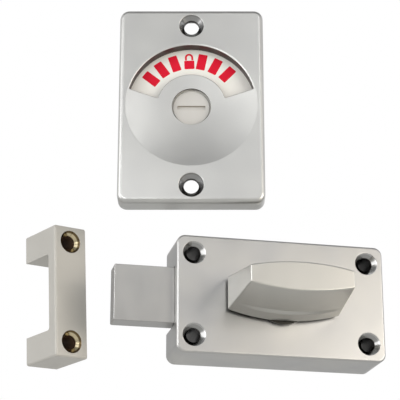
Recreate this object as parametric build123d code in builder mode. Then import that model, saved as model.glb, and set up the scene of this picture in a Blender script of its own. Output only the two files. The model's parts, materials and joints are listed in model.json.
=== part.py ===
from build123d import *
from math import acos, cos, pi, radians, sin, tan
import os

os.makedirs("parts", exist_ok=True)

# Lock and indicator set for a cubicle door: a rim lock with a large turn and a flat bolt,
# a keeper for the frame, and an indicator plate with a turning disc for the outside.
# All sizes in millimetres. The lock stands square in the frame: X runs along the bolt,
# Y into the door and Z up, and the origin is on the turn's axis in the lock's mounting face.

# Where the indicator and the keeper stand beside the lock, given by the centre of the mounting
# face, and how far each is turned about the upright. Every unit faces about -Y, and the keeper
# leans a little to its left.
indicator_x = -35.3
indicator_y = -24.7
indicator_z = 68.8
indicator_turn_angle = -12.3
keeper_x = -83.8
keeper_y = 21.7
keeper_z = 4.5
keeper_turn_angle = 25.1
keeper_lean_angle = 2.9

# Running and seating clearances
running_gap = 0.06
seat_gap = 0.05
slide_gap = 0.15
free_gap = 0.4
cut_past = 1.0

# Lock case
case_length = 79.0
case_height = 44.5
case_depth = 19.5
case_corner = 3.2
case_edge = 0.9
case_wall = 2.5
case_front_wall = 3.0
lock_hole_pitch_x = 66.0
lock_hole_pitch_y = 31.0
lock_hole_d = 5.2
lock_sink_d = 8.7
boss_d = 8.8
sink_rim = 0.2

# Bolt with its rack
bolt_height = 21.2
bolt_thickness = 7.7
bolt_reach = 22.4
bolt_face_drop = 4.1
bolt_edge = 0.6
bolt_face_edge = 0.3
bolt_tail = 4.0
slot_margin = 0.5
rail_width = 1.6
ledge_width = 2.2
ledge_start = -34.0
ledge_end = 30.0

# Rack and pinion: ten teeth, half a turn draws the bolt back by five pitches
module = 1.25
teeth = 10
pressure_angle = 20.0
rack_addendum = 0.55 * module
tooth_thinning = 0.15
tip_clearance = 0.31
window_clearance = 0.5

# Pinion, its flange behind the bolt and its rear journal
flange_d = 19.2
flange_thickness = 0.65
hub_d = 14.0
rear_journal_d = 11.0
drive_square = 5.5
drive_depth = 5.0
drive_web = 2.2

# Tail spindle of the indicator, which the pinion's rear socket takes
spindle_square = 5.0
spindle_reach = 50.0
spindle_chamfer = 0.6
socket_gap = 0.05

# Lock back plate, its screws, the bolt spring and the thrust washer
plate_recess = 0.3
plate_thickness = 1.5
plate_margin = 0.3
plate_screw_pitch_x = 32.0
plate_screw_pitch_y = 31.6
plate_screw_d = 2.2
plate_screw_head_d = 4.4
plate_screw_length = 6.0
post_d = 6.0
spring_width = 7.0
spring_span = 18.0
spring_thickness = 0.5
spring_inset = 7.5
thrust_washer_d = 17.0
thrust_washer_thickness = 0.8

# Thumbturn
turn_rise = 28.8
neck_d = 20.8
neck_height = 2.0
turn_base_half_length = 21.1
turn_base_half_width = 9.4
turn_base_end_width = 6.1
turn_face_half_length = 19.0
turn_face_half_width = 5.3
turn_face_end_width = 3.1
crease_height = 8.0
crease_lip = 1.8
crease_draw = 0.5
turn_edge = 0.6
front_journal_d = 9.0
bush_wall = 2.0
bush_flange = 1.7
bush_flange_thickness = 0.7
turn_screw_d = 2.5
turn_screw_head_d = 4.4
turn_screw_head_height = 1.6
turn_screw_length = 8.0

# Keeper
keeper_width = 14.0
keeper_height = 50.4
keeper_depth = 20.5
keeper_leg = 10.6
keeper_bridge = 4.5
keeper_edge = 0.9
keeper_inner_radius = 1.2
keeper_hole_pitch = 38.4
keeper_hole_d = 5.2
keeper_sink_d = 8.8

# Indicator plate
face_width = 54.0
face_height = 77.5
face_depth = 8.5
face_corner = 3.5
face_edge = 1.7
face_hole_pitch = 64.0
face_hole_d = 5.6
face_sink_d = 9.4
dish_d = 49.2
dish_depth = 3.0
dish_rim = 0.8
window_margin = 0.6
window_inner_d = 25.8
window_half_angle = 75.0
window_corner = 0.35
button_hole_d = 14.6
button_hole_edge = 1.0
window_edge = 0.25
face_wall = 4.3
hole_wall = 3.1
core_width = 12.0
core_near = 26.6
core_far = 37.2
core_corner = 2.0

# Indicator disc, coin button and what holds them
disc_lap = 0.6
disc_thickness = 1.2
button_d = 13.8
button_stand = 0.7
button_edge = 0.25
button_neck_d = 11.0
neck_flats = 8.6
journal_tail = 3.4
coin_slot_length = 10.4
coin_slot_width = 1.6
coin_slot_depth = 0.9
button_socket_depth = 4.9
backing_width = 50.0
backing_height = 54.0
backing_thickness = 1.2
backing_sunk = 0.1
backing_corner = 3.0
backing_screw_pitch_x = 42.0
backing_screw_pitch_y = 46.0
backing_screw_d = 2.0
backing_screw_head_d = 3.8
backing_screw_length = 4.5
washer_inner_d = 11.8
washer_outer_d = 18.0
washer_sheet = 0.35
clip_thickness = 0.8
clip_d = 15.0
clip_groove_d = 8.4
clip_mouth = 5.6
cross_pin_d = 1.5
cross_pin_length = 9.2
screw_slot = 0.6


def unit_plane(spot, turned, leaning=0):
    """Mounting face of a unit: x to its right, y up, z out towards the viewer."""
    turn = radians(turned)
    lean = radians(leaning)
    right = (cos(turn) * cos(lean), sin(turn) * cos(lean), sin(lean))
    return Plane(origin=spot, x_dir=right, z_dir=(sin(turn), -cos(turn), 0))


def cross_section(unit, x=0, y=0):
    """Plane through a unit's axis: x is the radius and y the height over the mounting face."""
    spot = unit.from_local_coords((x, y, 0))
    return Plane(origin=spot, x_dir=unit.x_dir, z_dir=-unit.y_dir)


def unit_axis(unit, x=0, y=0):
    """Line square to the mounting face through a point of a unit."""
    return Axis(unit.from_local_coords((x, y, 0)), unit.z_dir)


def side_section(unit, x=0):
    """Plane square to a unit's x: its x is the unit's y and its y the height over the mounting face."""
    return Plane(origin=unit.from_local_coords((x, 0, 0)), x_dir=unit.y_dir, z_dir=unit.x_dir)


def screw_half(head_back, shank_d, head_d, length):
    """Half outline of a countersunk screw that is driven from the mounting face."""
    cone_front = head_back + (head_d - shank_d) / 2
    Polyline(
        (0, head_back),
        (head_d / 2, head_back),
        (shank_d / 2, cone_front),
        (shank_d / 2, head_back + length),
        (0, head_back + length),
        close=True,
    )


def corners(pitch_x, pitch_y):
    """The four corners of a rectangular hole pattern."""
    return [(sx * pitch_x / 2, sy * pitch_y / 2) for sx in (-1, 1) for sy in (-1, 1)]


def round_edges(part, diameter):
    """The circular edges of a part that have a diameter."""
    circles = part.edges().filter_by(GeomType.CIRCLE)
    return circles.filter_by(lambda edge: abs(edge.radius - diameter / 2) < 0.01)


def save(part, name):
    part.label = name
    export_step(part, f"parts/{name}.step")


lock = unit_plane((0, 0, 0), 0)
indicator = unit_plane((indicator_x, indicator_y, indicator_z), indicator_turn_angle)
keep = unit_plane((keeper_x, keeper_y, keeper_z), keeper_turn_angle, keeper_lean_angle)

# Heights over the lock's mounting face
bolt_front = case_depth - bolt_face_drop
bolt_back = bolt_front - bolt_thickness
cavity_front = case_depth - case_front_wall
plate_front = plate_recess + plate_thickness
pinion_front = bolt_front - slide_gap
flange_front = bolt_back - slide_gap
flange_back = flange_front - flange_thickness
washer_front = plate_front + seat_gap + thrust_washer_thickness
hub_back = washer_front + slide_gap

# Pinion and rack geometry
pitch_radius = module * teeth / 2
base_radius = pitch_radius * cos(radians(pressure_angle))
tip_radius = pitch_radius + module
root_radius = pitch_radius - rack_addendum - tip_clearance
rack_pitch = pi * module
bolt_travel = pitch_radius * pi
tooth_width = rack_pitch / 2 - tooth_thinning
window_radius = tip_radius + window_clearance
window_left = -bolt_travel - window_radius
bolt_tip = -case_length / 2 - bolt_reach
bolt_end = window_radius + bolt_tail
rack_root = pitch_radius + module + tip_clearance


# Lock case: one casting, open at the back, with bosses, posts and bolt rails inside
cavity_length = case_length - 2 * case_wall
cavity_height = case_height - 2 * case_wall
slot_half = bolt_height / 2 + slot_margin
rail_inner = bolt_height / 2 + slide_gap
post_front = plate_front
bush_d = front_journal_d + 2 * running_gap + 2 * bush_wall

with BuildPart() as lock_case:
    with BuildSketch(lock):
        RectangleRounded(case_length, case_height, case_corner)
    extrude(amount=case_depth)
    fillet(lock_case.faces().sort_by(Axis.Y)[0].edges(), case_edge)
    with BuildSketch(lock):
        RectangleRounded(cavity_length, cavity_height, case_corner - case_wall)
    extrude(amount=cavity_front, mode=Mode.SUBTRACT)
    # Screw bosses reach the mounting face
    with BuildSketch(lock):
        with Locations(*corners(lock_hole_pitch_x, lock_hole_pitch_y)):
            Circle(boss_d / 2)
    extrude(amount=cavity_front)
    # Posts carry the back plate
    with BuildSketch(lock.offset(post_front)):
        with Locations(*corners(plate_screw_pitch_x, plate_screw_pitch_y)):
            Circle(post_d / 2)
    extrude(amount=cavity_front - post_front)
    # Rails beside the bolt, each with a ledge in front of the bolt's bars
    rail_length = ledge_end - ledge_start
    rail_middle = (ledge_start + ledge_end) / 2
    rail_centre = rail_inner + rail_width / 2
    with BuildSketch(lock.offset(bolt_back)):
        with Locations((rail_middle, rail_centre), (rail_middle, -rail_centre)):
            Rectangle(rail_length, rail_width)
    extrude(amount=cavity_front - bolt_back)
    ledge_back = bolt_front + slide_gap
    ledge_centre = rail_inner + rail_width - (ledge_width + rail_width) / 2
    with BuildSketch(lock.offset(ledge_back)):
        with Locations((rail_middle, ledge_centre), (rail_middle, -ledge_centre)):
            Rectangle(rail_length, ledge_width + rail_width)
    extrude(amount=cavity_front - ledge_back)
    # Countersunk mounting holes
    with Locations(lock.offset(case_depth)):
        with Locations(*corners(lock_hole_pitch_x, lock_hole_pitch_y)):
            CounterSinkHole(lock_hole_d / 2, lock_sink_d / 2, case_depth, 90)
    fillet(round_edges(lock_case, lock_sink_d), sink_rim)
    # Bore of the turn's bush and threaded holes of the posts
    with BuildSketch(lock.offset(cavity_front - cut_past)):
        Circle(bush_d / 2 + seat_gap)
    extrude(amount=case_front_wall + 2 * cut_past, mode=Mode.SUBTRACT)
    with BuildSketch(lock.offset(post_front)):
        with Locations(*corners(plate_screw_pitch_x, plate_screw_pitch_y)):
            Circle(plate_screw_d / 2 + seat_gap)
    extrude(amount=plate_screw_length, mode=Mode.SUBTRACT)
    # Slot of the bolt in the left wall, open to the mounting face
    slot_front = bolt_front + free_gap
    with BuildSketch(lock):
        with Locations((-case_length / 2, 0)):
            Rectangle(2 * (case_wall + cut_past), 2 * slot_half)
    extrude(amount=slot_front, mode=Mode.SUBTRACT)
save(lock_case.part, "lock_case")


# Bolt: a flat bar whose inner end is a frame with a rack along its top
rack_teeth = [n * rack_pitch for n in range(-teeth // 2 - 1, 2)]
flank_run = tan(radians(pressure_angle))
tip_half = tooth_width / 2 - rack_addendum * flank_run
root_half = tooth_width / 2 + (rack_root - pitch_radius) * flank_run

with BuildPart() as bolt:
    with BuildSketch(lock.offset(bolt_back)):
        with Locations(((bolt_tip + bolt_end) / 2, 0)):
            RectangleRounded(bolt_end - bolt_tip, bolt_height, bolt_edge)
        with Locations(((window_left + window_radius) / 2, (rack_root - window_radius) / 2)):
            Rectangle(window_radius - window_left, rack_root + window_radius, mode=Mode.SUBTRACT)
        with Locations(*[(place, 0) for place in rack_teeth]):
            with BuildLine():
                Polyline(
                    (-root_half, rack_root + module / 2),
                    (-root_half, rack_root),
                    (-tip_half, pitch_radius - rack_addendum),
                    (tip_half, pitch_radius - rack_addendum),
                    (root_half, rack_root),
                    (root_half, rack_root + module / 2),
                    close=True,
                )
            make_face()
    extrude(amount=bolt_thickness)
    fillet(bolt.faces().sort_by(Axis.Y)[0].outer_wire().edges(), bolt_face_edge)
save(bolt.part, "bolt")


def involute(angle):
    """Involute function of a pressure angle."""
    return tan(angle) - angle


def flank_point(radius, side):
    """Point of a pinion tooth's flank at a radius, for a tooth that points along +x."""
    half_tooth = tooth_width / 2 / pitch_radius + involute(radians(pressure_angle))
    reached = max(radius, base_radius)
    angle = side * (half_tooth - involute(acos(base_radius / reached)))
    return (radius * cos(angle), radius * sin(angle))


# Pinion: its teeth lie in the bolt's layer, its flange behind the bolt
socket_side = spindle_square + 2 * socket_gap
drive_side = drive_square + 2 * socket_gap
web_front = pinion_front - drive_depth
web_back = web_front - drive_web
middle_radius = (base_radius + tip_radius) / 2
foot_radius = root_radius * 0.9

with BuildPart() as turn_pinion:
    with BuildSketch(lock.offset(flange_front)):
        Circle(root_radius)
        for n in range(teeth):
            with Locations(Rotation(0, 0, 90 + (n + 0.5) * 360 / teeth)):
                with BuildLine():
                    near = Polyline((foot_radius, flank_point(root_radius, -1)[1]),
                                    flank_point(root_radius, -1), flank_point(base_radius, -1))
                    low = ThreePointArc(near @ 1, flank_point(middle_radius, -1),
                                        flank_point(tip_radius, -1))
                    crest = ThreePointArc(low @ 1, (tip_radius, 0), flank_point(tip_radius, 1))
                    high = ThreePointArc(crest @ 1, flank_point(middle_radius, 1),
                                         flank_point(base_radius, 1))
                    far = Polyline(high @ 1, flank_point(root_radius, 1),
                                   (foot_radius, flank_point(root_radius, 1)[1]))
                    Line(far @ 1, near @ 0)
                make_face()
    extrude(amount=pinion_front - flange_front)
    with BuildSketch(lock.offset(flange_back)):
        Circle(flange_d / 2)
    extrude(amount=flange_thickness)
    with BuildSketch(lock.offset(hub_back)):
        Circle(hub_d / 2)
    extrude(amount=flange_back - hub_back)
    with BuildSketch(lock.offset(plate_recess)):
        Circle(rear_journal_d / 2)
    extrude(amount=hub_back - plate_recess)
    # Square for the turn in front, square socket for the tail spindle behind, screw hole between
    with BuildSketch(lock.offset(web_front)):
        Rectangle(drive_side, drive_side)
    extrude(amount=drive_depth, mode=Mode.SUBTRACT)
    with BuildSketch(lock.offset(plate_recess)):
        Rectangle(socket_side, socket_side)
    extrude(amount=web_back - plate_recess, mode=Mode.SUBTRACT)
    with BuildSketch(lock.offset(web_back)):
        Circle(turn_screw_d / 2 + seat_gap)
    extrude(amount=drive_web, mode=Mode.SUBTRACT)
save(turn_pinion.part, "turn_pinion")


# Bush of the turn in the case's front wall, flanged inside
with BuildPart() as turn_bush:
    with BuildSketch(lock.offset(cavity_front)):
        Circle(bush_d / 2)
    extrude(amount=case_front_wall)
    with BuildSketch(lock.offset(cavity_front - bush_flange_thickness)):
        Circle(bush_d / 2 + bush_flange)
    extrude(amount=bush_flange_thickness)
    with BuildSketch(lock.offset(cavity_front - bush_flange_thickness)):
        Circle(front_journal_d / 2 + running_gap)
    extrude(amount=case_front_wall + bush_flange_thickness, mode=Mode.SUBTRACT)
save(turn_bush.part, "turn_bush")


def barrel(half_length, half_width, end_width):
    """Outline with bowed long sides and straight ends."""
    for side in (1, -1):
        ThreePointArc((-half_length, side * end_width), (0, side * half_width),
                      (half_length, side * end_width))
    for side in (1, -1):
        Line((side * half_length, end_width), (side * half_length, -end_width))


def turn_outline(height, drawn_in=0):
    """Sizes of the turn's outline at a height over its underside, narrowing towards its face."""
    share = height / (turn_rise - neck_height)
    half_length = turn_base_half_length + (turn_face_half_length - turn_base_half_length) * share
    half_width = turn_base_half_width + (turn_face_half_width - turn_base_half_width) * share
    end_width = turn_base_end_width + (turn_face_end_width - turn_base_end_width) * share
    return (half_length, half_width - drawn_in, end_width)


# Thumbturn: tapered block on a round neck, with its journal and square drive in one casting.
# Each long side is drawn in above a crease that runs over the neck.
neck_back = case_depth + slide_gap
block_back = case_depth + neck_height
block_height = turn_rise - neck_height
drive_end = web_front + seat_gap

turn_levels = [(0, 0), (crease_height - crease_lip, 0), (crease_height, crease_draw), (block_height, 0)]

with BuildPart() as thumbturn:
    for height, drawn_in in turn_levels:
        with BuildSketch(lock.offset(block_back + height)):
            with BuildLine():
                barrel(*turn_outline(height, drawn_in))
            make_face()
    loft(ruled=True)
    level_edges = thumbturn.edges().filter_by(Plane.XZ)
    corner_edges = thumbturn.edges().filter_by(Plane.XZ, reverse=True)
    rims = level_edges.group_by(Axis.Y)
    fillet(rims[0] + rims[-1] + corner_edges, turn_edge)
    with BuildSketch(lock.offset(neck_back)):
        Circle(neck_d / 2)
    extrude(amount=block_back - neck_back)
    with BuildSketch(lock.offset(pinion_front)):
        Circle(front_journal_d / 2)
    extrude(amount=neck_back - pinion_front)
    with BuildSketch(lock.offset(drive_end)):
        Rectangle(drive_square, drive_square)
    extrude(amount=pinion_front - drive_end)
    with BuildSketch(lock.offset(drive_end)):
        Circle(turn_screw_d / 2 + seat_gap)
    extrude(amount=turn_screw_length, mode=Mode.SUBTRACT)
save(thumbturn.part, "thumbturn")


# Screw that holds the pinion on the turn's square
with BuildPart() as turn_screw:
    with BuildSketch(lock.offset(web_back - turn_screw_head_height)):
        Circle(turn_screw_head_d / 2)
    extrude(amount=turn_screw_head_height)
    with BuildSketch(lock.offset(web_back)):
        Circle(turn_screw_d / 2)
    extrude(amount=turn_screw_length)
    with BuildSketch(lock.offset(web_back - turn_screw_head_height)):
        Rectangle(turn_screw_head_d, screw_slot)
    extrude(amount=screw_slot, mode=Mode.SUBTRACT)
save(turn_screw.part, "turn_screw")


# Thrust washer between the pinion and the back plate
with BuildPart() as thrust_washer:
    with BuildSketch(lock.offset(plate_front + seat_gap)):
        Circle(thrust_washer_d / 2)
        Circle(rear_journal_d / 2 + slide_gap, mode=Mode.SUBTRACT)
    extrude(amount=thrust_washer_thickness)
save(thrust_washer.part, "thrust_washer")


# Lock back plate, cut away at the corners for the screw bosses
plate_length = cavity_length - 2 * plate_margin
plate_height = cavity_height - 2 * plate_margin
boss_gap = boss_d / 2 + plate_margin
corner_length = plate_length - (lock_hole_pitch_x - 2 * boss_gap)
corner_height = plate_height - (lock_hole_pitch_y - 2 * boss_gap)

with BuildPart() as lock_back_plate:
    with BuildSketch(lock.offset(plate_recess)):
        Rectangle(plate_length, plate_height)
        with Locations(*corners(plate_length, plate_height)):
            Rectangle(corner_length, corner_height, mode=Mode.SUBTRACT)
        Circle(rear_journal_d / 2 + running_gap, mode=Mode.SUBTRACT)
    extrude(amount=plate_thickness)
    with Locations(-lock.offset(plate_recess)):
        with Locations(*corners(plate_screw_pitch_x, plate_screw_pitch_y)):
            CounterSinkHole(plate_screw_d / 2 + seat_gap, plate_screw_head_d / 2 + seat_gap,
                            plate_thickness, 90)
save(lock_back_plate.part, "lock_back_plate")


# Screws of the lock's back plate
with BuildPart() as back_plate_screws:
    for x, y in corners(plate_screw_pitch_x, plate_screw_pitch_y):
        with BuildSketch(cross_section(lock, x, y)):
            with BuildLine():
                screw_half(plate_recess, plate_screw_d, plate_screw_head_d, plate_screw_length)
            make_face()
        revolve(axis=unit_axis(lock, x, y))
    with BuildSketch(lock.offset(plate_recess)):
        with Locations(*corners(plate_screw_pitch_x, plate_screw_pitch_y)):
            Rectangle(plate_screw_head_d, screw_slot)
    extrude(amount=screw_slot, mode=Mode.SUBTRACT)
save(back_plate_screws.part, "back_plate_screws")


# Bolt spring: a bowed leaf whose feet stand on the back plate and whose crown steadies the bolt
spring_place = -case_length / 2 + spring_inset
spring_foot = plate_front + seat_gap
spring_crown = bolt_back - slide_gap

with BuildPart() as bolt_spring:
    with BuildSketch(side_section(lock, spring_place)):
        with BuildLine():
            outer = ThreePointArc((-spring_span / 2, spring_foot), (0, spring_crown),
                                  (spring_span / 2, spring_foot))
            inner = ThreePointArc((-spring_span / 2 + spring_thickness, spring_foot),
                                  (0, spring_crown - spring_thickness),
                                  (spring_span / 2 - spring_thickness, spring_foot))
            Line(outer @ 0, inner @ 0)
            Line(outer @ 1, inner @ 1)
        make_face()
    extrude(amount=spring_width / 2, both=True)
save(bolt_spring.part, "bolt_spring")


# Keeper: a staple cast in one piece, its two legs bored through for screws
leg_centre = keeper_hole_pitch / 2
gap_height = keeper_height - 2 * keeper_leg
gap_depth = keeper_depth - keeper_bridge

with BuildPart() as keeper:
    with BuildSketch(keep):
        Rectangle(keeper_width, keeper_height)
    extrude(amount=keeper_depth)
    keeper_back = keeper.faces().sort_by(unit_axis(keep))[0].edges()
    fillet(keeper.edges().filter_by(lambda edge: edge not in keeper_back), keeper_edge)
    with BuildSketch(side_section(keep)):
        Rectangle(gap_height, 2 * gap_depth)
        fillet(vertices(), keeper_inner_radius)
    extrude(amount=keeper_width, both=True, mode=Mode.SUBTRACT)
    with Locations(keep.offset(keeper_depth)):
        with Locations((0, leg_centre), (0, -leg_centre)):
            CounterSinkHole(keeper_hole_d / 2, keeper_sink_d / 2, keeper_depth, 90)
    fillet(round_edges(keeper, keeper_sink_d), sink_rim)
save(keeper.part, "keeper")


# Indicator plate: a casting with a round dish, an arched window and a hole for the button
window_outer_d = dish_d - 2 * window_margin
disc_d = window_outer_d + 2 * disc_lap
pocket_d = disc_d + 2 * free_gap
pocket_depth = face_depth - face_wall
backing_pocket = backing_thickness + backing_sunk
core_middle = (core_near + core_far) / 2
sphere_radius = (dish_d ** 2 / 4 + dish_depth ** 2) / (2 * dish_depth)
dish_middle = face_depth - dish_depth + sphere_radius - (sphere_radius ** 2 - dish_d ** 2 / 16) ** 0.5

with BuildPart() as indicator_plate:
    with BuildSketch(indicator):
        RectangleRounded(face_width, face_height, face_corner)
    extrude(amount=face_depth)
    fillet(indicator_plate.faces().sort_by(unit_axis(indicator))[-1].edges(), face_edge)
    # Round dish with a softened rim
    with BuildSketch(cross_section(indicator)):
        with BuildLine():
            bowl = ThreePointArc((0, face_depth - dish_depth), (dish_d / 4, dish_middle),
                                 (dish_d / 2, face_depth))
            Polyline(bowl @ 1, (dish_d / 2 + face_edge, face_depth),
                     (dish_d / 2 + face_edge, face_depth + face_edge),
                     (0, face_depth + face_edge), bowl @ 0)
        make_face()
        fillet(vertices().sort_by_distance((dish_d / 2, face_depth, 0))[0], dish_rim)
    revolve(axis=unit_axis(indicator), mode=Mode.SUBTRACT)
    # Pocket of the disc and the shallow seat of the backing plate
    with BuildSketch(indicator):
        Circle(pocket_d / 2)
    extrude(amount=pocket_depth, mode=Mode.SUBTRACT)
    with BuildSketch(indicator):
        RectangleRounded(backing_width + 2 * slide_gap, backing_height + 2 * slide_gap,
                         backing_corner + slide_gap)
    extrude(amount=backing_pocket, mode=Mode.SUBTRACT)
    # Window and button hole
    with BuildSketch(indicator):
        with BuildLine():
            far_arc = CenterArc((0, 0), window_outer_d / 2, 90 - window_half_angle,
                                2 * window_half_angle)
            near_arc = CenterArc((0, 0), window_inner_d / 2, 90 - window_half_angle,
                                 2 * window_half_angle)
            Line(far_arc @ 0, near_arc @ 0)
            Line(far_arc @ 1, near_arc @ 1)
        make_face()
        fillet(vertices(), window_corner)
        Circle(button_hole_d / 2)
    extrude(amount=face_depth, mode=Mode.SUBTRACT)
    hole_edges = round_edges(indicator_plate, button_hole_d)
    fillet(hole_edges.sort_by(unit_axis(indicator))[-1], button_hole_edge)
    dish_face = indicator_plate.faces().filter_by(GeomType.SPHERE)[0]
    fillet(dish_face.inner_wires()[0].edges(), window_edge)
    # The casting is cored out behind its screw holes
    with BuildSketch(indicator):
        with Locations((0, core_middle), (0, -core_middle)):
            RectangleRounded(core_width, core_far - core_near, core_corner)
    extrude(amount=face_depth - hole_wall, mode=Mode.SUBTRACT)
    # Countersunk screw holes above and below the dish, threaded holes for the backing plate
    with Locations(indicator.offset(face_depth)):
        with Locations((0, face_hole_pitch / 2), (0, -face_hole_pitch / 2)):
            CounterSinkHole(face_hole_d / 2, face_sink_d / 2, face_depth, 90)
    fillet(round_edges(indicator_plate, face_sink_d), sink_rim)
    with BuildSketch(indicator.offset(backing_pocket)):
        with Locations(*corners(backing_screw_pitch_x, backing_screw_pitch_y)):
            Circle(backing_screw_d / 2 + seat_gap)
    extrude(amount=backing_screw_length, mode=Mode.SUBTRACT)
save(indicator_plate.part, "indicator_plate")


# Indicator disc, held on two flats of the button's neck
disc_front = pocket_depth - free_gap
disc_back = disc_front - disc_thickness

with BuildPart() as indicator_disc:
    with BuildSketch(indicator.offset(disc_back)):
        Circle(disc_d / 2)
    extrude(amount=disc_thickness)
    with BuildSketch(indicator.offset(disc_back)):
        Circle(button_neck_d / 2 + seat_gap)
        Rectangle(button_neck_d * 2, neck_flats + 2 * seat_gap, mode=Mode.INTERSECT)
    extrude(amount=disc_thickness, mode=Mode.SUBTRACT)
save(indicator_disc.part, "indicator_disc")


# Coin button: slotted head over the disc, neck through it, journal in the backing plate
button_face = disc_front + button_stand
journal_end = -journal_tail
clip_front = backing_sunk - slide_gap
clip_back = clip_front - clip_thickness
pin_height = (clip_back + journal_end) / 2
socket_end = journal_end + button_socket_depth

with BuildPart() as coin_button:
    with BuildSketch(indicator.offset(disc_front)):
        Circle(button_d / 2)
    extrude(amount=button_stand)
    fillet(coin_button.faces().sort_by(unit_axis(indicator))[-1].edges(), button_edge)
    with BuildSketch(indicator.offset(disc_back)):
        Circle(button_neck_d / 2)
        Rectangle(button_neck_d * 2, neck_flats, mode=Mode.INTERSECT)
    extrude(amount=disc_thickness)
    with BuildSketch(indicator.offset(journal_end)):
        Circle(button_neck_d / 2)
    extrude(amount=disc_back - journal_end)
    with BuildSketch(indicator.offset(button_face - coin_slot_depth)):
        Rectangle(coin_slot_length, coin_slot_width)
    extrude(amount=coin_slot_depth, mode=Mode.SUBTRACT)
    # Groove of the clip, socket of the tail spindle and the hole of its cross pin
    with BuildSketch(indicator.offset(clip_back - seat_gap)):
        Circle(button_neck_d / 2)
        Circle(clip_groove_d / 2, mode=Mode.SUBTRACT)
    extrude(amount=clip_thickness + 2 * seat_gap, mode=Mode.SUBTRACT)
    with BuildSketch(indicator.offset(journal_end)):
        Rectangle(socket_side, socket_side)
    extrude(amount=button_socket_depth, mode=Mode.SUBTRACT)
    with BuildSketch(side_section(indicator)):
        with Locations((0, pin_height)):
            Circle(cross_pin_d / 2 + seat_gap)
    extrude(amount=button_neck_d, both=True, mode=Mode.SUBTRACT)
save(coin_button.part, "coin_button")


# Coned spring washer between the backing plate and the disc
washer_back = backing_pocket + seat_gap
washer_rise = disc_back - seat_gap - washer_back - washer_sheet

with BuildPart() as disc_spring_washer:
    with BuildSketch(cross_section(indicator)):
        with BuildLine():
            Polyline(
                (washer_inner_d / 2, washer_back + washer_rise),
                (washer_outer_d / 2, washer_back),
                (washer_outer_d / 2, washer_back + washer_sheet),
                (washer_inner_d / 2, washer_back + washer_rise + washer_sheet),
                close=True,
            )
        make_face()
    revolve(axis=unit_axis(indicator))
save(disc_spring_washer.part, "disc_spring_washer")


# Backing plate that closes the indicator and guides the journal
with BuildPart() as indicator_back_plate:
    with BuildSketch(indicator.offset(backing_sunk)):
        RectangleRounded(backing_width, backing_height, backing_corner)
        Circle(button_neck_d / 2 + running_gap, mode=Mode.SUBTRACT)
    extrude(amount=backing_thickness)
    with Locations(-indicator.offset(backing_sunk)):
        with Locations(*corners(backing_screw_pitch_x, backing_screw_pitch_y)):
            CounterSinkHole(backing_screw_d / 2 + seat_gap, backing_screw_head_d / 2 + seat_gap,
                            backing_thickness, 90)
save(indicator_back_plate.part, "indicator_back_plate")


# Screws of the backing plate
with BuildPart() as indicator_back_screws:
    for x, y in corners(backing_screw_pitch_x, backing_screw_pitch_y):
        with BuildSketch(cross_section(indicator, x, y)):
            with BuildLine():
                screw_half(backing_sunk, backing_screw_d, backing_screw_head_d,
                           backing_screw_length)
            make_face()
        revolve(axis=unit_axis(indicator, x, y))
    with BuildSketch(indicator.offset(backing_sunk)):
        with Locations(*corners(backing_screw_pitch_x, backing_screw_pitch_y)):
            Rectangle(backing_screw_head_d, screw_slot)
    extrude(amount=screw_slot, mode=Mode.SUBTRACT)
save(indicator_back_screws.part, "indicator_back_screws")


# Open clip in the journal's groove, behind the backing plate
with BuildPart() as spindle_clip:
    with BuildSketch(indicator.offset(clip_back)):
        Circle(clip_d / 2)
        Circle(clip_groove_d / 2 + seat_gap, mode=Mode.SUBTRACT)
        with Locations((0, -clip_d / 2)):
            Rectangle(clip_mouth, clip_d, mode=Mode.SUBTRACT)
        fillet(vertices(), clip_thickness / 2)
    extrude(amount=clip_thickness)
save(spindle_clip.part, "spindle_clip")


# Tail spindle that carries the turn through the door
spindle_front = socket_end - slide_gap

with BuildPart() as tail_spindle:
    with BuildSketch(indicator.offset(-spindle_reach)):
        Rectangle(spindle_square, spindle_square)
    extrude(amount=spindle_reach + spindle_front)
    chamfer(tail_spindle.faces().sort_by(unit_axis(indicator))[0].edges(), spindle_chamfer)
    with BuildSketch(side_section(indicator)):
        with Locations((0, pin_height)):
            Circle(cross_pin_d / 2 + seat_gap)
    extrude(amount=spindle_square, both=True, mode=Mode.SUBTRACT)
save(tail_spindle.part, "tail_spindle")


# Cross pin through journal and spindle
with BuildPart() as spindle_pin:
    with BuildSketch(side_section(indicator)):
        with Locations((0, pin_height)):
            Circle(cross_pin_d / 2)
    extrude(amount=cross_pin_length / 2, both=True)
save(spindle_pin.part, "spindle_pin")
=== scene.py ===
import bpy
import json
import math
import numpy as np
from mathutils import Matrix, Vector


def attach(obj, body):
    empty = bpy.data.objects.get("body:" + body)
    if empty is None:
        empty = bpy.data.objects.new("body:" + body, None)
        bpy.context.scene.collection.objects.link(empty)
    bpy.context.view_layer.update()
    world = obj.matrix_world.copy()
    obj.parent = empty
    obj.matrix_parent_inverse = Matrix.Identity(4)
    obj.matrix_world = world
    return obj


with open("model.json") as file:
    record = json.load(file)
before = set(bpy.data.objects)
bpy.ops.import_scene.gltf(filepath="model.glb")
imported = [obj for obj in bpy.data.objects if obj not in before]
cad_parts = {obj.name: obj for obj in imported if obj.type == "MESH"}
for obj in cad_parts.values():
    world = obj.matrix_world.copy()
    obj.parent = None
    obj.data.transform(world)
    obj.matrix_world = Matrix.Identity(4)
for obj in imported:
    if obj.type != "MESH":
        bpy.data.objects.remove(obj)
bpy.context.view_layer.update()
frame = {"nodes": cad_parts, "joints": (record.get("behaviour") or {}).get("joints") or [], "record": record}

# Sizes here are metres unless a name ends in mm. Each unit has its own local frame: x to its right,
# z up and y into the wall behind it, with its mounting face at y = 0.
MM = 0.001
joints = {joint["name"]: joint for joint in frame["joints"]}
mounts = {mount["name"]: mount for mount in frame["record"]["mounts"]}


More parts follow.
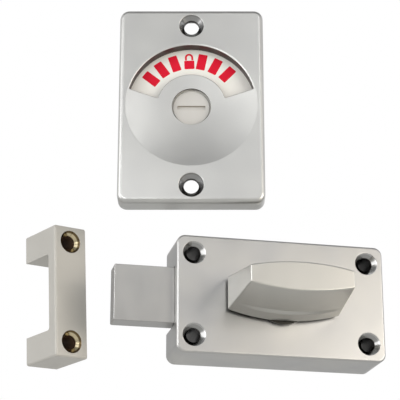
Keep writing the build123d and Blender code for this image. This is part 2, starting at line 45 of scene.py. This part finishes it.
class Unit:
    """Where one of the three units stands: the centre of its mounting face, its front and its upright."""

    def __init__(self, origin, out, up=(0, 0, 1)):
        self.origin = Vector(origin)
        self.out = Vector(out)
        self.up = Vector(up)
        self.right = self.up.cross(self.out)
        self.turned = Matrix((self.right, -self.out, self.up)).transposed().to_euler()

    def place(self, x_mm, z_mm, height_mm):
        """Local arrays in mm to points of the frame: origin + right * x + up * z + out * height."""
        axes = np.array((self.right, self.up, self.out))
        local = np.stack(np.broadcast_arrays(x_mm, z_mm, height_mm), -1)
        return np.array(self.origin) + local @ axes * MM

    def front_mm(self, node):
        """How far a node reaches out of the wall, in mm."""
        mesh = frame["nodes"][node].data
        points = np.empty(len(mesh.vertices) * 3, np.float32)
        mesh.vertices.foreach_get("co", points)
        return float(((points.reshape(-1, 3) - np.array(self.origin)) @ np.array(self.out)).max() / MM)


lock = Unit(joints["turn"]["pos_m"], -Vector(joints["turn"]["axis"]))
indicator = Unit(joints["indicator"]["pos_m"], joints["indicator"]["axis"])
top_hole, bottom_hole = (Vector(mounts[f"keeper_screw_{end}"]["pos_m"]) for end in ("top", "bottom"))
keeper_out = Vector(mounts["keeper_back"]["axis"]) * -1
keeper_middle = (top_hole + bottom_hole) / 2
keeper_sunk = (Vector(mounts["keeper_back"]["pos_m"]) - keeper_middle).dot(keeper_out)
keeper = Unit(keeper_middle + keeper_out * keeper_sunk, keeper_out, (top_hole - bottom_hole).normalized())


# Nodes and coordinates of the materials

def linear(hex_colour):
    """sRGB hex such as "c8c6c0" to linear red, green, blue and alpha."""
    parts = [int(hex_colour[n:n + 2], 16) / 255 for n in (0, 2, 4)]
    return (*(c / 12.92 if c <= 0.04045 else ((c + 0.055) / 1.055) ** 2.4 for c in parts), 1)


def add(tree, kind, settings=None, inputs=None):
    """A node with its settings, and its inputs set or linked; a node as an input gives its first output."""
    node = tree.nodes.new(kind)
    for name, value in (settings or {}).items():
        setattr(node, name, value)
    for socket, value in (inputs or {}).items():
        if isinstance(value, bpy.types.Node):
            value = next(output for output in value.outputs if output.enabled)
        if isinstance(value, bpy.types.NodeSocket):
            tree.links.new(value, node.inputs[socket])
        else:
            node.inputs[socket].default_value = value
    return node


def finish(name, make):
    """New material: make(tree) gives the inputs of its Principled shader."""
    material = bpy.data.materials.new(name)
    material.use_nodes = True
    tree = material.node_tree
    tree.nodes.clear()
    shader = add(tree, "ShaderNodeBsdfPrincipled", None, make(tree))
    add(tree, "ShaderNodeOutputMaterial", None, {"Surface": shader})
    return material


def local_mm(tree, unit):
    """Object coordinates turned into a unit's local millimetres."""
    return add(tree, "ShaderNodeMapping", {"vector_type": "TEXTURE"}, {
        "Vector": add(tree, "ShaderNodeTexCoord").outputs["Object"],
        "Location": unit.origin,
        "Rotation": unit.turned,
        "Scale": (MM, MM, MM),
    })


def hole_masks(tree, place, sinks):
    """Shares of a countersunk hole's rim, cone and bore, by the distance from the nearest hole's axis.

    The place is folded over both mid planes, so that one hole stands for all. Rim and cone stop at
    CONE_DEPTH_MM behind the front, so that bosses of their size keep the plating's tone.
    """
    folded = add(tree, "ShaderNodeVectorMath", {"operation": "ABSOLUTE"}, {0: place})
    flat = add(tree, "ShaderNodeVectorMath", {"operation": "MULTIPLY"}, {0: folded, 1: (1, 0, 1)})
    reach = add(tree, "ShaderNodeVectorMath", {"operation": "DISTANCE"},
                {0: flat, 1: (sinks["x_mm"], 0, sinks["z_mm"])}).outputs["Value"]
    depth = add(tree, "ShaderNodeSeparateXYZ", None, {0: place}).outputs["Y"]
    shares = []
    for value, limit in ((depth, CONE_DEPTH_MM - sinks["front_mm"]), (reach, sinks["rim_mm"]),
                         (reach, sinks["cone_mm"]), (reach, sinks["bore_mm"])):
        shares.append(add(tree, "ShaderNodeMapRange", None,
                          {"Value": value, "From Min": limit + BLUR_MM, "From Max": limit - BLUR_MM}))
    in_front, rim, cone, bore = shares
    rim, cone = (add(tree, "ShaderNodeMath", {"operation": "MULTIPLY"}, {0: share, 1: in_front})
                 for share in (rim, cone))
    return rim, cone, bore


def wall_mask(tree, place, unit, radius_mm):
    """1 on walls that stand square to the face within a radius of the unit's middle."""
    flat = add(tree, "ShaderNodeVectorMath", {"operation": "MULTIPLY"}, {0: place, 1: (1, 0, 1)})
    reach = add(tree, "ShaderNodeVectorMath", {"operation": "LENGTH"}, {0: flat})
    normal = add(tree, "ShaderNodeNewGeometry").outputs["Normal"]
    facing = add(tree, "ShaderNodeVectorMath", {"operation": "DOT_PRODUCT"}, {0: normal, 1: unit.out})
    turned_away = add(tree, "ShaderNodeMath", {"operation": "ABSOLUTE"}, {0: facing.outputs["Value"]})
    upright = add(tree, "ShaderNodeMapRange", None, {"Value": turned_away, "From Min": 0.5, "From Max": 0.2})
    inside = add(tree, "ShaderNodeMapRange", None, {
        "Value": reach.outputs["Value"], "From Min": radius_mm + BLUR_MM, "From Max": radius_mm - BLUR_MM})
    return add(tree, "ShaderNodeMath", {"operation": "MULTIPLY"}, {0: inside, 1: upright})


def laid_over(tree, tone, layers):
    """A tone under layers, each a share from 0 to 1 and a colour, the first at the bottom."""
    for share, colour in layers:
        tone = add(tree, "ShaderNodeMix", {"data_type": "RGBA"}, {"Factor": share, "A": tone, "B": linear(colour)})
    return tone


# Finishes

GRAIN_MM = 0.45
DRIFT_MM = 18.0
SMEAR_MM = 6.0
CLOUD_MM = 9.0
CUT_ROUGHNESS = 0.16
CONE_DEPTH_MM = 2.3
BLUR_MM = 0.08


def satin_chrome(name, unit, tones, roughness=0.34, metal=1.0, sinks=None, walls=None, painted_shade_neck=None):
    """Satin chrome on a zinc casting: blasted before plating, so its gloss is broad and finely grained.

    The blasted grain of 0.1 mm is drawn at 0.45 mm so that it shows, the plating's tone drifts over some
    18 mm, and the gloss is a little uneven over 6 mm. Cut holes are smoother: sinks gives their place and
    the radius and tone of rim, cone and bore, where dark bores and darker rims are painted shade. walls is
    the reach and tone of painted shade on walls square to the face, and foot the height and tone of painted
    shade on a neck by the wall. Below 1, metal leaves a share of the light to the blasted skin's matt scatter.
    """
    def make(tree):
        place = local_mm(tree, unit)
        grain = add(tree, "ShaderNodeTexNoise", None, {"Vector": place, "Scale": 1 / GRAIN_MM, "Detail": 3.0})
        drift = add(tree, "ShaderNodeTexNoise", None, {"Vector": place, "Scale": 1 / DRIFT_MM, "Detail": 1.0})
        smear = add(tree, "ShaderNodeTexNoise", None, {"Vector": place, "Scale": 1 / SMEAR_MM, "Detail": 2.0})
        share = add(tree, "ShaderNodeMapRange", None, {"Value": drift, "From Min": 0.3, "From Max": 0.7})
        tone = add(tree, "ShaderNodeMix", {"data_type": "RGBA"},
                   {"Factor": share, "A": linear(tones[0]), "B": linear(tones[1])})
        rough = add(tree, "ShaderNodeMapRange", None,
                    {"Value": smear, "From Min": 0.3, "From Max": 0.7, "To Min": -0.02, "To Max": 0.02})
        rough = add(tree, "ShaderNodeMath", {"operation": "MULTIPLY_ADD"}, {0: grain, 1: 0.06, 2: rough})
        rough = add(tree, "ShaderNodeMath", {"operation": "ADD"}, {0: rough, 1: roughness - 0.03})
        bare = metal
        layers = []
        if sinks:
            # Dark bore tones and darker rim tones are painted shade in and at the holes.
            rim, cone, bore = hole_masks(tree, place, sinks)
            layers += [(rim, sinks["rim"]), (cone, sinks["cone"]), (bore, sinks["bore"])]
            rough = add(tree, "ShaderNodeMix", None, {"Factor": rim, "A": rough, "B": CUT_ROUGHNESS})
            bare = add(tree, "ShaderNodeMix", None, {"Factor": rim, "A": bare, "B": 1.0})
        # Walls square to the face are painted dark: painted shade in recesses.
        if walls:
            layers.append((wall_mask(tree, place, unit, walls[0]), walls[1]))
        # A neck next to the wall is painted dark: painted shade under the part.
        if painted_shade_neck:
            depth = add(tree, "ShaderNodeSeparateXYZ", None, {0: place}).outputs["Y"]
            low = add(tree, "ShaderNodeMath", {"operation": "GREATER_THAN"}, {0: depth, 1: -painted_shade_neck[0]})
            layers.append((low, painted_shade_neck[1]))
        tone = laid_over(tree, tone, layers)
        bump = add(tree, "ShaderNodeBump", None, {"Height": grain, "Strength": 0.1, "Distance": 0.04 * MM})
        return {"Base Color": tone, "Metallic": bare, "Roughness": rough, "Normal": bump}

    return finish(name, make)


def plain_metal(name, tones, roughness, grain_mm, bump_mm=0.01):
    """Plated, sintered or spring metal of the hidden side: its grain shows in tone, gloss and relief."""
    def make(tree):
        place = local_mm(tree, lock)
        grain = add(tree, "ShaderNodeTexNoise", None, {"Vector": place, "Scale": 1 / grain_mm, "Detail": 3.0})
        share = add(tree, "ShaderNodeMapRange", None, {"Value": grain, "From Min": 0.3, "From Max": 0.7})
        tone = add(tree, "ShaderNodeMix", {"data_type": "RGBA"},
                   {"Factor": share, "A": linear(tones[0]), "B": linear(tones[1])})
        rough = add(tree, "ShaderNodeMath", {"operation": "MULTIPLY_ADD"},
                    {0: grain, 1: 0.16, 2: roughness - 0.08})
        bump = add(tree, "ShaderNodeBump", None, {"Height": grain, "Strength": 0.3, "Distance": bump_mm * MM})
        return {"Base Color": tone, "Metallic": 1.0, "Roughness": rough, "Normal": bump}

    return finish(name, make)


def coat(name, unit, tones, roughness, peel_mm=0.9, shine=0.5, walls=None):
    """Baked enamel, screen ink or moulded nylon: an even coat with a faint orange peel and cloud.

    The cloud drifts over 9 mm, and walls gives the reach and tone of painted shade on walls that stand
    square to the face.
    """
    def make(tree):
        place = local_mm(tree, unit)
        peel = add(tree, "ShaderNodeTexNoise", None, {"Vector": place, "Scale": 1 / peel_mm, "Detail": 2.0})
        cloud = add(tree, "ShaderNodeTexNoise", None, {"Vector": place, "Scale": 1 / CLOUD_MM, "Detail": 2.0})
        share = add(tree, "ShaderNodeMapRange", None, {"Value": cloud, "From Min": 0.3, "From Max": 0.7})
        tone = add(tree, "ShaderNodeMix", {"data_type": "RGBA"},
                   {"Factor": share, "A": linear(tones[0]), "B": linear(tones[1])})
        if walls:
            tone = laid_over(tree, tone, [(wall_mask(tree, place, unit, walls[0]), walls[1])])
        bump = add(tree, "ShaderNodeBump", None, {"Height": peel, "Strength": 0.2, "Distance": 0.02 * MM})
        return {"Base Color": tone, "Roughness": roughness, "Specular IOR Level": shine, "Normal": bump}

    return finish(name, make)


# Countersunk holes of each casting: place of one hole beside its unit's middle, how far out the casting's
# front stands, then outer radius and tone of rim, cone and bore. The dark bores are painted shade in the
# holes, and the darker rims of plate and keeper are painted shade at the holes' edges. The keeper's bore is a
# bronze tone darkened with painted shade
hole_pattern = mounts["lock_screws"]["dims"]
plate_pitch_mm = (Vector(mounts["indicator_screw_top"]["pos_m"]) - indicator.origin).dot(indicator.up) / MM
case_sinks = {
    "x_mm": hole_pattern["spacing_x_mm"] / 2,
    "z_mm": hole_pattern["spacing_y_mm"] / 2,
    "front_mm": lock.front_mm("lock_case"),
    "rim_mm": 4.25, "rim": "c0c0bf",
    "cone_mm": 3.9, "cone": "a4a4a3",
    "bore_mm": 2.75, "bore": "2c2927",
}
plate_sinks = {
    "x_mm": 0,
    "z_mm": plate_pitch_mm,
    "front_mm": indicator.front_mm("indicator_plate"),
    "rim_mm": 4.6, "rim": "8c8c8b",
    "cone_mm": 4.2, "cone": "a0a0a0",
    "bore_mm": 2.95, "bore": "2c2927",
}
keeper_sinks = {
    "x_mm": 0,
    "z_mm": (top_hole - bottom_hole).length / 2 / MM,
    "front_mm": keeper.front_mm("keeper"),
    "rim_mm": 4.3, "rim": "6e5d42",
    "cone_mm": 3.65, "cone": "d6c8a6",
    "bore_mm": 2.75, "bore": "6a5444",
}
# Reach of the painted shade on the window's and the coin slot's walls, and top of the painted shade
# on the turn's neck
WINDOW_SHADE_REACH_MM = 24.3
SLOT_SHADE_REACH_MM = 6.0
SHADED_NECK_MM = 21.6

zinc_plate = plain_metal("zinc_plated_steel", ("a9adb2", "bcc0c4"), 0.34, 2.5)
sheet_steel = plain_metal("zinc_plated_sheet", ("9ea2a6", "b0b4b7"), 0.42, 4.0)
spring_steel = plain_metal("blued_spring_steel", ("4d4f55", "5d6067"), 0.32, 1.5)
finishes = {
    "lock_case": satin_chrome("satin_chrome_case", lock, ("bcbcbc", "c5c4c1"), sinks=case_sinks),
    "bolt": satin_chrome("satin_chrome_bolt", lock, ("b0b0af", "b8b7b5")),
    # The turn's neck by the case is painted dark: painted shade under the turn.
    "thumbturn": satin_chrome("satin_chrome_turn", lock, ("c6c5c0", "cccac5"), painted_shade_neck=(SHADED_NECK_MM, "3a3936")),
    "keeper": satin_chrome("satin_chrome_keeper", keeper, ("bbb8b1", "c2bfb8"), metal=0.12,
                           sinks=keeper_sinks),
    # The window's walls are painted dark: painted shade inside the window.
    "indicator_plate": satin_chrome("satin_chrome_plate", indicator, ("c8c8c6", "d0d0cd"), sinks=plate_sinks,
                                    walls=(WINDOW_SHADE_REACH_MM, "4a3f3d")),
    # The coin slot's walls are painted darker: painted shade inside the slot.
    "coin_button": coat("enamel_button", indicator, ("c4c2bd", "cac8c4"), 0.38,
                        walls=(SLOT_SHADE_REACH_MM, "a2998a")),
    "indicator_disc": coat("enamel_disc", indicator, ("eceae3", "f1efe9"), 0.42),
    "lock_back_plate": sheet_steel,
    "indicator_back_plate": sheet_steel,
    "back_plate_screws": zinc_plate,
    "indicator_back_screws": zinc_plate,
    "turn_screw": zinc_plate,
    "tail_spindle": zinc_plate,
    "spindle_pin": zinc_plate,
    "spindle_clip": spring_steel,
    "bolt_spring": spring_steel,
    "disc_spring_washer": spring_steel,
    "turn_pinion": plain_metal("sintered_steel", ("5a5a5b", "6b6a69"), 0.55, 0.4, 0.04),
    "turn_bush": plain_metal("turned_brass", ("b8924a", "c7a45a"), 0.3, 0.8),
    "thrust_washer": coat("natural_nylon", lock, ("dedbd0", "e8e6dc"), 0.45, 1.2),
}
for node, material in finishes.items():
    mesh = frame["nodes"][node].data
    mesh.materials.clear()
    mesh.materials.append(material)
red_ink = coat("screen_print_red", indicator, ("d80a2a", "de0e30"), 0.5, shine=0.2)
green_ink = coat("screen_print_green", indicator, ("168a46", "1c964c"), 0.5, shine=0.2)


# Marks printed on the disc: plain bars beside a padlock, red for bolted and green for free

DISC_FRONT_MM = indicator.front_mm("indicator_disc")
INK_MM = 0.06
MARK_RADIUS_MM = 19.4
MARK_HEIGHT_MM = 6.4
BAR_WIDTH_MM = 3.4
PADLOCK_WIDTH_MM = 3.8
PADLOCK_BODY_MM = 3.5
SHACKLE_RADIUS_MM = 1.2
SHACKLE_BAND_MM = 0.7
SHACKLE_LEG_MM = 1.1
SHACKLE_DROP_MM = 1.65
SHACKLE_LIFT_MM = 0.9
# Degrees from up towards the right
MARK_ANGLES = (-51.4, -35.1, -19.1, -2.6, 11.4, 27.4, 43.8)


def patch(outline, rings=6):
    """Closed pad over an outline, with a rounded edge.

    The outline is a closed loop of n points about a middle. A ring at share s from 0 to 1 is
    middle + s * (outline - middle), at the height INK_MM * sqrt(1 - s ** 8), and the last loop is
    the outline on the disc itself. The back is a fan at the disc's face.
    """
    middle = outline.mean(0)
    share = np.linspace(0, 1, rings + 1)[1:]
    loops = middle + share[:, None, None] * (outline - middle)[None]
    height = INK_MM * np.sqrt(1 - share ** 8)
    count = len(outline)
    flat = np.concatenate([middle[None], loops.reshape(-1, 2), middle[None]])
    heights = np.concatenate([[INK_MM], np.repeat(height, count), [0]])
    step = np.arange(count)
    after = (step + 1) % count
    fan = np.stack([np.zeros(count, int), 1 + step, 1 + after], 1)
    sheets = [fan.tolist()]
    for ring in range(rings - 1):
        low, high = 1 + ring * count, 1 + (ring + 1) * count
        sheets.append(np.stack([low + step, high + step, high + after, low + after], 1).tolist())
    last = 1 + (rings - 1) * count
    sheets.append(np.stack([np.full(count, len(flat) - 1), last + after, last + step], 1).tolist())
    return flat, heights, sum(sheets, [])


def rounded_bar(width, height, corner=0.35, points=48):
    """Loop on a rounded rectangle: x = (w - c) sign(cos t) + c cos t, y = (h - c) sign(sin t) + c sin t."""
    turn = (np.arange(points) + 0.5) * 2 * math.pi / points
    x = (width / 2 - corner) * np.sign(np.cos(turn)) + corner * np.cos(turn)
    y = (height / 2 - corner) * np.sign(np.sin(turn)) + corner * np.sin(turn)
    return np.stack([x, y], 1)


def arch(radius, band, leg, lift, points=20):
    """Loop of a shackle: a half ring of that mean radius on two legs, the right one lifted clear."""
    turn = np.linspace(0, math.pi, points)
    outer = np.stack([np.cos(turn), np.sin(turn)], 1) * (radius + band / 2)
    inner = np.stack([np.cos(turn), np.sin(turn)], 1)[::-1] * (radius - band / 2)
    feet_left = np.array([[-radius - band / 2, -leg], [-radius + band / 2, -leg]])
    feet_right = np.array([[radius - band / 2, -leg + lift], [radius + band / 2, -leg + lift]])
    return np.concatenate([outer, feet_left, inner, feet_right])


def band_pad(loop):
    """Closed pad over a band-shaped loop: its two halves are joined across by quads, top, back and rim."""
    count = len(loop)
    half = count // 2
    flat = np.concatenate([loop, loop])
    heights = np.concatenate([np.full(count, INK_MM), np.zeros(count)])
    step = np.arange(count)
    after = (step + 1) % count
    rim = np.stack([step, step + count, after + count, after], 1).tolist()
    run = np.arange(half - 1)
    top = np.stack([run, run + 1, count - 2 - run, count - 1 - run], 1).tolist()
    back = [[corner + count for corner in reversed(quad)] for quad in top]
    return flat, heights, rim + top + back


def turned(flat, angle_degrees):
    """Points of a mark moved out to the ring of marks, at an angle from up towards the right."""
    angle = math.radians(angle_degrees)
    across, along = flat[:, 0], flat[:, 1] + MARK_RADIUS_MM
    return (across * math.cos(angle) + along * math.sin(angle),
            along * math.cos(angle) - across * math.sin(angle))


def print_mark(name, parts, angle_degrees, ink):
    """One printed mark on the disc's front, from its closed pads."""
    points, faces = [], []
    total = 0
    for flat, heights, quads in parts:
        x, z = turned(flat, angle_degrees)
        points.append(indicator.place(x, z, DISC_FRONT_MM + heights))
        faces += [[corner + total for corner in quad] for quad in quads]
        total += len(flat)
    mesh = bpy.data.meshes.new(name)
    mesh.from_pydata(np.concatenate(points), [], faces)
    mesh.materials.append(ink)
    piece = bpy.data.objects.new(name, mesh)
    bpy.context.scene.collection.objects.link(piece)
    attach(piece, "indicator")


def shifted(pad, up):
    """A pad moved up by some mm."""
    flat, heights, quads = pad
    return flat + np.array([0, up]), heights, quads


def padlock(lift):
    """Padlock pictogram: a rounded body under a shackle whose right leg is lifted when open."""
    body = patch(rounded_bar(PADLOCK_WIDTH_MM, PADLOCK_BODY_MM))
    shackle = band_pad(arch(SHACKLE_RADIUS_MM, SHACKLE_BAND_MM, SHACKLE_LEG_MM, lift))
    return [shifted(body, (PADLOCK_BODY_MM - MARK_HEIGHT_MM) / 2),
            shifted(shackle, MARK_HEIGHT_MM / 2 - SHACKLE_DROP_MM)]


for colour, ink, half, lift in (("red", red_ink, 0, 0.0), ("green", green_ink, 180, SHACKLE_LIFT_MM)):
    for number, angle in enumerate(MARK_ANGLES, 1):
        in_middle = number == len(MARK_ANGLES) // 2 + 1
        parts = padlock(lift) if in_middle else [patch(rounded_bar(BAR_WIDTH_MM, MARK_HEIGHT_MM))]
        print_mark(f"{colour}_mark_{number}", parts, angle + half, ink)


# Stage: pale floor, studio surroundings, soft lamps and the photograph's camera

AIM = Vector((-0.03153, -0.02245, 0.03498))
CAMERA = Vector((-0.14284, -0.53250, -0.15339))
PHOTO_PX = 400
FOCAL_PX = 1500
FLOOR_Z = -0.22
FLOOR_HALF = 3.0
# Dim gaps in the studio's walls: azimuth and elevation in degrees, and the share of light left
WALL_GAPS = ((13, 23, 0.52), (-166, 14, 0.5))


def floor():
    """Pale matt floor well under the set."""
    rim = [(x * FLOOR_HALF, y * FLOOR_HALF, FLOOR_Z) for x, y in ((-1, -1), (1, -1), (1, 1), (-1, 1))]
    mesh = bpy.data.meshes.new("studio_floor")
    mesh.from_pydata(rim, [], [(0, 1, 2, 3)])
    matt = {"Base Color": linear("e2e2e0"), "Roughness": 0.9}
    mesh.materials.append(finish("studio_floor", lambda tree: matt))
    made = bpy.data.objects.new("studio_floor", mesh)
    bpy.context.scene.collection.objects.link(made)


def direction(azimuth, elevation):
    """Unit vector from the set; azimuth 0 points at the viewer's side and grows to the right."""
    a, e = math.radians(azimuth), math.radians(elevation)
    return Vector((math.sin(a) * math.cos(e), -math.cos(a) * math.cos(e), math.sin(e)))


def surroundings():
    """One studio for every ray: pale walls that dim overhead, and a white backdrop behind the set."""
    world = bpy.data.worlds.new("studio")
    bpy.context.scene.world = world
    world.use_nodes = True
    tree = world.node_tree
    tree.nodes.clear()
    towards = add(tree, "ShaderNodeTexCoord").outputs["Generated"]
    height = add(tree, "ShaderNodeSeparateXYZ", None, {0: towards}).outputs["Z"]
    walls = add(tree, "ShaderNodeMapRange", {"interpolation_type": "SMOOTHSTEP"}, {
        "Value": height, "From Min": 0.3, "From Max": 0.72, "To Min": 0.84, "To Max": 0.46})
    for azimuth, elevation, share in WALL_GAPS:
        aside = add(tree, "ShaderNodeVectorMath", {"operation": "DOT_PRODUCT"},
                    {0: towards, 1: direction(azimuth, elevation)})
        gap = add(tree, "ShaderNodeMapRange", {"interpolation_type": "SMOOTHSTEP"}, {
            "Value": aside.outputs["Value"], "From Min": math.cos(math.radians(22)),
            "From Max": math.cos(math.radians(8)), "To Min": 1.0, "To Max": share})
        walls = add(tree, "ShaderNodeMath", {"operation": "MULTIPLY"}, {0: walls, 1: gap})
    ceiling = add(tree, "ShaderNodeMapRange", {"interpolation_type": "SMOOTHSTEP"}, {
        "Value": height, "From Min": 0.68, "From Max": 0.88, "To Min": 1.0, "To Max": 0.6})
    walls = add(tree, "ShaderNodeMath", {"operation": "MULTIPLY"}, {0: walls, 1: ceiling})
    behind = add(tree, "ShaderNodeVectorMath", {"operation": "DOT_PRODUCT"},
                 {0: towards, 1: (AIM - CAMERA).normalized()})
    backdrop = add(tree, "ShaderNodeMapRange", {"interpolation_type": "SMOOTHSTEP"}, {
        "Value": behind.outputs["Value"], "From Min": math.cos(math.radians(22)),
        "From Max": math.cos(math.radians(12))})
    strength = add(tree, "ShaderNodeMix", None, {"Factor": backdrop, "A": walls, "B": 1.0})
    light = add(tree, "ShaderNodeBackground", None, {"Color": (1, 1, 1, 1), "Strength": strength})
    add(tree, "ShaderNodeOutputWorld", None, {"Surface": light})


def softbox(name, target, azimuth, elevation, distance, width, height, shown, colour="ffffff"):
    """Area lamp aimed at a point; shown is how bright its face looks, where 1 is white.

    Its power is shown * pi * width * height.
    """
    away = direction(azimuth, elevation)
    lamp = bpy.data.lights.new(name, "AREA")
    lamp.shape = "RECTANGLE"
    lamp.size, lamp.size_y = width, height
    lamp.energy = shown * math.pi * width * height
    lamp.color = linear(colour)[:3]
    made = bpy.data.objects.new(name, lamp)
    made.location = target + away * distance
    made.rotation_euler = (-away).to_track_quat("-Z", "Y").to_euler()
    made.visible_camera = False
    bpy.context.scene.collection.objects.link(made)


def camera():
    """Camera of the photograph: below and to the left of the set, looking up at it."""
    data = bpy.data.cameras.new("camera")
    data.sensor_width = 36
    data.lens = data.sensor_width * FOCAL_PX / PHOTO_PX
    made = bpy.data.objects.new("camera", data)
    made.location = CAMERA
    made.rotation_euler = (AIM - CAMERA).to_track_quat("-Z", "Y").to_euler()
    bpy.context.scene.collection.objects.link(made)
    bpy.context.scene.camera = made


floor()
surroundings()
softbox("lamp_low_right", lock.origin, 34.5, -2, 0.9, 0.5, 0.56, 3.6, "fff6e8")
softbox("lamp_low_left", lock.origin, -32, 11, 0.38, 0.09, 0.08, 5.3)
softbox("lamp_dish_right", indicator.origin, 9, 28, 0.40, 0.10, 0.17, 1.9)
softbox("lamp_dish_left", indicator.origin, -38, 32, 0.40, 0.12, 0.15, 0.85)
softbox("lamp_left", keeper.origin, -68, 8, 0.9, 0.6, 0.7, 1.8)
softbox("lamp_overhead", Vector((0.1, 1.0, FLOOR_Z)), 0, 90, 1.3, 2.4, 1.4, 0.7)
camera()
bpy.context.scene.view_settings.view_transform = "Standard"
